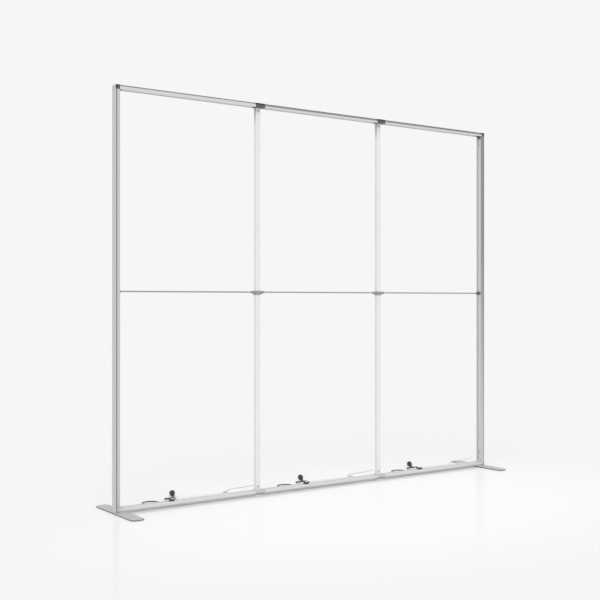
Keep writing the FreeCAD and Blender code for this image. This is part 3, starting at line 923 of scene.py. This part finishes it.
TRUNK_LEAD = Lead("trunk_lead", 0.0065, 0.483, "object", BLACK_JACKET, (
    (0.353, 0.0285, 0.02305), (0.353, 0.0525, 0.02305), (0.347, 0.084, 0.01425), (0.33, 0.106, 0.00575),
    (0.304, 0.12, 0.00325), (0.278, 0.134, 0.00325), (0.262, 0.157, 0.00325), (0.268, 0.184, 0.00325),
    (0.298, 0.205, 0.00325), (0.338, 0.202, 0.00325), (0.365, 0.176, 0.00325), (0.374, 0.142, 0.00325),
    (0.372, 0.112, 0.00725), (0.367, 0.084, 0.01425), (0.366, 0.055, 0.02075), (0.383, 0.038, 0.02305),
    (0.412, 0.038, 0.02305)))
PLUG_LEAD = Lead("plug_lead", 0.0055, 0.281, "plug", BLACK_JACKET, (
    (0.3855, 0.01, 0.0383), (0.3855, 0.034, 0.0383), (0.402, 0.06, 0.03725), (0.43, 0.082, 0.03395),
    (0.458, 0.11, 0.02795), (0.48, 0.146, 0.01995), (0.497, 0.185, 0.01195), (0.5085, 0.221, 0.00645),
    (0.5181, 0.2462, 0.0046)))
SOCKET_LEAD = Lead("socket_lead", 0.005, 0.178, "connector", BLACK_JACKET, (
    (0.3745, 0.01, 0.0383), (0.3745, 0.034, 0.0383), (0.391, 0.058, 0.0375), (0.416, 0.082, 0.035),
    (0.44, 0.106, 0.03), (0.45525, 0.13857, 0.02103), (0.453, 0.158, 0.01688)))
WHITE_LEAD = Lead("white_lead", 0.005, 0.513, "connector", WHITE_JACKET, (
    (0.798, 0.038, 0.02305), (0.822, 0.038, 0.02305), (0.838, 0.055, 0.017), (0.847, 0.082, 0.009),
    (0.851, 0.114, 0.0025), (0.858, 0.15, 0.0025), (0.872, 0.19, 0.0025), (0.895, 0.228, 0.0025),
    (0.93, 0.258, 0.0025), (0.975, 0.274, 0.0025), (1.022, 0.279, 0.0025), (1.068, 0.279, 0.0025),
    (1.11532, 0.28642, 0.0025), (1.16, 0.301, 0.0025)))


@dataclass(frozen=True)
class RailOutlet(Fitting):
    """The block in the rail's channel: a base, a lid over a thin seam and the sleeves of its two leads."""

    name = "rail_outlet"
    replaced = "rail_outlets"
    place: Point = (0.380, 0.0, 0.0303)
    base: Block = Block(BLACK_MOULDING, rectangle(-0.012, 0.012, -0.010, 0.010), Slab(0.0, 0.0078, 0.0012))
    seam: Block = Block(BLACK_MOULDING, rectangle(-0.0116, 0.0116, -0.0096, 0.0096), Slab(0.0070, 0.0090, 0.0003))
    lid: Block = Block(BLACK_MOULDING, rectangle(-0.012, 0.012, -0.010, 0.010), Slab(0.0083, 0.0117, 0.0012))
    socket_sleeve: Relief = Relief(BLACK_MOULDING, 0.0037, 0.0029, (-0.0055, 0.0099, 0.0080), BACKWARDS)
    plug_sleeve: Relief = Relief(BLACK_MOULDING, 0.0038, 0.0031, (0.0055, 0.0099, 0.0080), BACKWARDS)

    def parts(self) -> list[Part]:
        """Its blocks and then its sleeves."""
        return [self.base, self.seam, self.lid, self.socket_sleeve, self.plug_sleeve]


@dataclass(frozen=True)
class GrommetSleeve(Fitting):
    """The sleeve of the trunk lead where it leaves the rail."""

    name = "grommet_sleeve"
    sleeve: Relief = Relief(BLACK_MOULDING, 0.0054, 0.0036, TRUNK_LEAD.route[0], BACKWARDS)

    def parts(self) -> list[Part]:
        """The sleeve alone."""
        return [self.sleeve]


@dataclass(frozen=True)
class DriverEnds(Fitting):
    """The driver's dark end caps, their screws and the sleeves of its two leads.

    Attributes:
        near_cap: Where the near cap begins and ends along the driver.
        far_cap: Where the far cap does.
        sides: Where the caps' front and back are.
        heights: The caps' heights and rounding.
        screw_head: A screw head's profile.
        screw_places: How far back a cap's screws are.
        screw_height: How high they are.
        trunk_sleeve: The trunk lead's sleeve.
        white_sleeve: The white lead's sleeve.
    """

    name = "driver_ends"
    near_cap: Pair = (0.4178, 0.4275)
    far_cap: Pair = (0.7560, 0.7922)
    sides: Pair = (0.0261, 0.0504)
    heights: Slab = Slab(0.0166, 0.0384, 0.0012)
    screw_head: Profile = ((0.0, 0.0), (0.0, 0.0017), (0.0005, 0.0017), (0.0008, 0.0013), (0.0008, 0.0))
    screw_places: Pair = (0.0300, 0.0465)
    screw_height: float = 0.0335
    trunk_sleeve: Relief = Relief(BLACK_MOULDING, 0.0048, 0.0036, TRUNK_LEAD.route[-1], LEFTWARDS)
    white_sleeve: Relief = Relief(WHITE_MOULDING, 0.0046, 0.0028, WHITE_LEAD.route[0], RIGHTWARDS)

    def parts(self) -> list[Part]:
        """Its caps, their screws and then its sleeves.

        Returns:
            The parts.
        """
        caps = [Block(CAP_NYLON, rectangle(*cap, *self.sides), self.heights) for cap in (self.near_cap, self.far_cap)]
        ends = ((self.near_cap[0], LEFTWARDS), (self.far_cap[1], RIGHTWARDS))
        screws = [Turning(BOLT_STEEL, self.screw_head, (along, across, self.screw_height), way)
                  for along, way in ends for across in self.screw_places]
        return [*caps, *screws, self.trunk_sleeve, self.white_sleeve]


@dataclass(frozen=True)
class Plug(Fitting):
    """The two-pin plug, which lies on its tapered side.

    Attributes:
        body: Its profile: a ribbed relief, the taper and a grooved rim.
        body_steps: How many faces go round that.
        pin_sleeve: The profile of a pin's sleeve.
        pin_tip: The profile of its bare tip.
        pin_places: Where the pins leave the plug's face.
    """

    name = "plug"
    replaced = "lead_plugs"
    place: Point = PLUG_LEAD.route[-1]
    heading: Pair = (0.356, 0.934)
    tilt: float = math.atan2(0.3, 1.0)
    body: Profile = (
        (0.0, 0.0), (0.0, 0.0032), (0.0006, 0.0036), (0.0030, 0.0038), (0.0034, 0.0031), (0.0046, 0.0031),
        (0.0050, 0.0040), (0.0076, 0.0042), (0.0080, 0.0034), (0.0092, 0.0034), (0.0096, 0.0045),
        (0.0122, 0.0048), (0.0126, 0.0039), (0.0138, 0.0039), (0.0142, 0.0052), (0.0190, 0.0058),
        (0.0204, 0.0078), (0.0220, 0.0104), (0.0250, 0.0120), (0.034, 0.0148), (0.0425, 0.0172),
        (0.0446, 0.018), (0.0480, 0.018), (0.0484, 0.0176), (0.0492, 0.0176), (0.0496, 0.018),
        (0.0545, 0.018), (0.056, 0.0166), (0.056, 0.0))
    body_steps: int = 48
    pin_sleeve: Profile = ((0.0, 0.0), (0.0, 0.0024), (0.0095, 0.0024), (0.0099, 0.0021), (0.0099, 0.0))
    pin_tip: Profile = (
        (0.0095, 0.0), (0.0095, 0.0021), (0.0172, 0.0021), (0.0185, 0.0016), (0.019, 0.0008), (0.019, 0.0))
    pin_places: tuple[Point, ...] = ((0.056, -0.0095, 0.0), (0.056, 0.0095, 0.0))

    def parts(self) -> list[Part]:
        """Its body and then its pins.

        Returns:
            The parts.
        """
        pin = ((BLACK_MOULDING, self.pin_sleeve), (PIN_METAL, self.pin_tip))
        pins = [Turning(finish, profile, place) for place in self.pin_places for finish, profile in pin]
        return [Turning(BLACK_MOULDING, self.body, steps=self.body_steps), *pins]


@dataclass(frozen=True)
class InlineSocket(Fitting):
    """The flat inline socket, with its far end on the floor.

    Attributes:
        body: Its body.
        ridges: How many grip ridges it has.
        ridge_start: Where the first one begins.
        ridge_pitch: How far each is from the next.
        ridge_width: How wide they are.
        ridge_half: Half their length.
        ridge: Their heights and rounding.
        mouth: Its raised mouth.
        sleeve: Its lead's sleeve.
    """

    name = "inline_socket"
    replaced = "lead_sockets"
    place: Point = SOCKET_LEAD.route[-1]
    heading: Pair = (-0.115, 0.993)
    tilt: float = math.radians(-12.0)
    body: Block = Block(BLACK_MOULDING, tapered(0.0, 0.004, 0.0597, 0.0048, 0.006), Slab(-0.0042, 0.0042, 0.0016))
    ridges: int = 5
    ridge_start: float = 0.012
    ridge_pitch: float = 0.0045
    ridge_width: float = 0.0018
    ridge_half: float = 0.0046
    ridge: Slab = Slab(0.0036, 0.0045, 0.0004)
    mouth: Block = Block(BLACK_MOULDING, rectangle(0.050, 0.060, -0.006, 0.006), Slab(-0.0045, 0.0045, 0.0012))
    sleeve: Relief = Relief(BLACK_MOULDING, 0.0040, 0.0029, (0.0005, 0.0, 0.0), LEFTWARDS)

    def parts(self) -> list[Part]:
        """Its body, its ridges, its mouth and then its sleeve.

        Returns:
            The parts.
        """
        starts = [self.ridge_start + self.ridge_pitch * number for number in range(self.ridges)]
        outlines = [rectangle(start, start + self.ridge_width, -self.ridge_half, self.ridge_half) for start in starts]
        grip = [Block(BLACK_MOULDING, outline, self.ridge) for outline in outlines]
        return [self.body, *grip, self.mouth, self.sleeve]


@dataclass(frozen=True)
class WhitePlug(Fitting):
    """The flat white plug at the end of the driver's lead: two halves, their seam and a sleeve that falls a little."""

    name = "white_plug"
    replaced = "white_plugs"
    place: Point = (1.16, 0.301, 0.0)
    heading: Pair = (0.95, 0.31)
    lower: Block = Block(WHITE_MOULDING, tapered(0.0, 0.005, 0.04, 0.0066, 0.009), Slab(0.0, 0.0044, 0.0009))
    seam: Block = Block(WHITE_MOULDING, tapered(0.0004, 0.0052, 0.0396, 0.0062, 0.0086), Slab(0.0040, 0.0052, 0.0002))
    upper: Block = Block(WHITE_MOULDING, tapered(0.0, 0.005, 0.04, 0.0066, 0.009), Slab(0.0047, 0.0090, 0.0009))
    sleeve: Relief = Relief(WHITE_MOULDING, 0.0039, 0.0028, (0.0005, 0.0, 0.0039), LEFTWARDS, math.atan2(-0.05, 1.0))

    def parts(self) -> list[Part]:
        """Its halves with their seam, and then its sleeve."""
        return [self.lower, self.seam, self.upper, self.sleeve]


@dataclass(frozen=True)
class LeadSet:
    """What is behind a bay: the leads, what they come out of and what is on their ends.

    Attributes:
        sources: What the leads come out of.
        leads: The leads, each with what is on its end.
    """

    sources: tuple[Fitting, ...] = (RailOutlet(), GrommetSleeve(), DriverEnds())
    leads: tuple[tuple[Lead, tuple[Fitting, ...]], ...] = (
        (TRUNK_LEAD, ()), (PLUG_LEAD, (Plug(),)), (SOCKET_LEAD, (InlineSocket(),)), (WHITE_LEAD, (WhitePlug(),)))

    def build(self, bay: Bay) -> None:
        """Builds the ends and then the leads that they are on.

        Args:
            bay: The bay.
        """
        for source in self.sources:
            source.build(bay)
        for lead, ends in self.leads:
            lead.build(bay, [end.build(bay) for end in ends])


@dataclass
class Frame:
    """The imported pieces, with the finish of each.

    Attributes:
        finishes: A finish for each part of a node's name. The first one that fits holds.
    """

    finishes: dict[str, Finish] = field(default_factory=lambda: {
        "top_rail_": TOP_RAIL_METAL, "bottom_rail_": BOTTOM_RAIL_METAL, "_inner_post_lower": TUBE_PAINT,
        "_inner_post_upper": TUBE_PAINT, "_button": BUTTON_STEEL, "left_post_": LEFT_POST_METAL,
        "right_post_": RIGHT_POST_METAL, "couplers": COUPLER_METAL, "cross_bar_clamps": CLAMP_NYLON,
        "cross_bar_": BAR_METAL, "top_left_corner": CORNER_NYLON, "top_right_corner": CORNER_NYLON,
        "top_left_": TOP_CONNECTOR_SHADED_NYLON, "top_right_": TOP_CONNECTOR_SHADED_NYLON, "bottom_left_": BOTTOM_CONNECTOR_LIT_NYLON, "bottom_right_": BOTTOM_CONNECTOR_LIT_NYLON,
        "end_foot": FOOT_PAINT, "middle_feet": DISC_PAINT, "foot_bolts": BOLT_STEEL, "driver_": DRIVER_PAINT,
        "grommets": BLACK_MOULDING, "rail_outlets": BLACK_MOULDING, "trunk_": BLACK_JACKET,
        "plug_lead": BLACK_JACKET, "socket_lead": BLACK_JACKET, "white_lead": WHITE_JACKET,
        "white_plugs": WHITE_MOULDING, "lead_": BLACK_MOULDING})

    def dress(self, nodes: dict[str, bpy.types.Object]) -> None:
        """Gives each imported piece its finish.

        Args:
            nodes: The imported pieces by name.
        """
        for name, node in nodes.items():
            finish = next(value for key, value in self.finishes.items() if key in name)
            node.data.materials.clear()
            node.data.materials.append(finish.material())
            LOG.info("node %s: %s", name, finish.name)


RAIL_SHADE_FALL = Step(Axis.BACK, -0.150, -0.040)
RAIL_SHADE = AccentAndShade(grey(0.68), ((
    RAIL_SHADE_FALL, RAIL_SHADE_FALL, RAIL_SHADE_FALL, Step(Axis.BACK, -0.027, -0.045),
    Step(Axis.ACROSS, -1.53, -1.48), Step(Axis.ACROSS, 1.53, 1.48)),))


@dataclass(frozen=True)
class Stage:
    """The floor, the pale surroundings and the lamp.

    Attributes:
        background: The grey of the surroundings that the camera sees.
        fill: The strength of the soft light from all round.
        lamp: The strength of the broad lamp.
        lamp_spread: How broad it is, in radians.
        lamp_way: The way that its light travels.
        half_floor: Half the floor's width.
        floor_grey: The floor's colour.
        pool_grey: Its colour in the painted pool of light before the wall.
        pool_stretch: What the pool's distances are multiplied by along each axis.
        pool_shift: What is added to them after that.
        pool_reach: Where the pool has faded and where it is full.
        rail_shade: The soft shade along the front of the bottom rail.
        gloss_roughness: The roughness of the floor's reflection.
        gloss: How strong the reflection is far before the wall.
        near_gloss: What is added to that near the wall.
        near_reach: Where the reflection is at its weakest and its strongest.
    """

    background: float = 0.922
    fill: float = 0.78
    lamp: float = 1.0
    lamp_spread: float = math.radians(50.0)
    lamp_way: Point = (0.6, 0.8, -0.9)
    half_floor: float = 60.0
    floor_grey: float = 0.93
    pool_grey: float = 0.99
    pool_stretch: Point = (0.42, 0.62, 0.0)
    pool_shift: Point = (0.0, 0.45, 0.0)
    pool_reach: Pair = (1.1, 0.3)
    rail_shade: AccentAndShade = RAIL_SHADE
    gloss_roughness: float = 0.10
    gloss: float = 0.015
    near_gloss: float = 0.11
    near_reach: Pair = (-2.4, -0.2)

    def build(self) -> None:
        """Builds all of it."""
        self.floor()
        self.world()
        self.key_lamp()

    def floor(self) -> None:
        """A pale floor with a painted pool of light before the wall and a painted shade along the rail, with a
        reflection that fades forwards.
        """
        shape = bmesh.new()
        bmesh.ops.create_grid(shape, x_segments=1, y_segments=1, size=self.half_floor)
        mesh = bpy.data.meshes.new("floor")
        shape.to_mesh(mesh)
        shape.free()
        made = bpy.data.materials.new("pale_floor")
        made.use_nodes = True
        shader = Shader(made.node_tree)
        # A painted pool of light before the wall, and then the painted shade along the front of the bottom rail.
        pool = shader.signal("ShaderNodeVectorMath", {"operation": "LENGTH"},
                             {0: shader.place(self.pool_stretch, self.pool_shift)}, "Value").rise(*self.pool_reach)
        lit = shader.tint(pool, grey(self.floor_grey), grey(self.pool_grey))
        shaded = shader.tint(self.rail_shade.share(shader), lit, self.rail_shade.colour)
        pale = shader.node("ShaderNodeBsdfDiffuse", {}, {"Color": shaded})
        shine = shader.node("ShaderNodeBsdfGlossy", {}, {"Color": WHITE, "Roughness": self.gloss_roughness})
        near = shader.along(shader.place(), Axis.BACK).rise(*self.near_reach)
        both = shader.node("ShaderNodeMixShader", {},
                           {0: near * self.near_gloss + self.gloss, 1: pale.outputs[0], 2: shine.outputs[0]})
        shader.node("ShaderNodeOutputMaterial", {}, {"Surface": both.outputs[0]})
        mesh.materials.append(made)
        linked("floor", mesh)

    def world(self) -> None:
        """Even light, and a pale background for the camera and for what shines."""
        made = bpy.data.worlds.new("pale_studio")
        bpy.context.scene.world = made
        made.use_nodes = True
        shader = Shader(made.node_tree)
        rays = shader.node("ShaderNodeLightPath", {}, {})
        camera, glossy, through = (Signal(shader, rays.outputs[name])
                                   for name in ("Is Camera Ray", "Is Glossy Ray", "Is Transmission Ray"))
        seen = camera.peak(glossy).peak(through)
        strength = self.fill + seen * (self.background - self.fill)
        light = shader.node("ShaderNodeBackground", {}, {"Color": WHITE, "Strength": strength})
        shader.node("ShaderNodeOutputWorld", {}, {"Surface": light.outputs[0]})

    def key_lamp(self) -> None:
        """A broad lamp from the front, high and to the left."""
        lamp = bpy.data.lights.new("broad_lamp", "SUN")
        lamp.energy = self.lamp
        lamp.angle = self.lamp_spread
        made = linked("broad_lamp", lamp)
        made.rotation_euler = Vector(self.lamp_way).to_track_quat("-Z", "Y").to_euler()


@dataclass(frozen=True)
class PhotoCamera:
    """The camera at the photograph's viewing angle.

    Attributes:
        place: Where it stands, in metres.
        pitch: How far it is raised from straight down, in degrees.
        yaw: How far it is turned from the wall's straight front, in degrees.
        lens: Its focal length in millimetres, on a sensor of sensor millimetres.
        sensor: The sensor's width.
        shift: How far the frame is moved up, as a share of its width.
        reach: How far it sees, in metres.
    """

    place: Point = (-4.0206, -5.4445, 1.2456)
    pitch: float = 90.0
    yaw: float = -35.24
    lens: float = 60.81
    sensor: float = 36.0
    shift: float = 0.00027
    reach: float = 300.0

    def build(self) -> None:
        """Makes it the scene's camera."""
        camera = bpy.data.cameras.new("photo_camera")
        camera.lens = self.lens
        camera.sensor_width = self.sensor
        camera.shift_y = self.shift
        camera.clip_end = self.reach
        made = linked("photo_camera", camera)
        made.location = self.place
        made.rotation_euler = (math.radians(self.pitch), 0.0, math.radians(self.yaw))
        bpy.context.scene.camera = made


def main() -> None:
    """Builds the wall's dress in order."""
    logging.basicConfig(level=logging.INFO, format="%(message)s")
    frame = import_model()
    bpy.context.scene.view_settings.view_transform = "Standard"
    Frame().dress(frame["nodes"])
    leads = LeadSet()
    for bay in Bay:
        leads.build(bay)
    Stage().build()
    PhotoCamera().build()


if __name__ == "__main__":
    main()
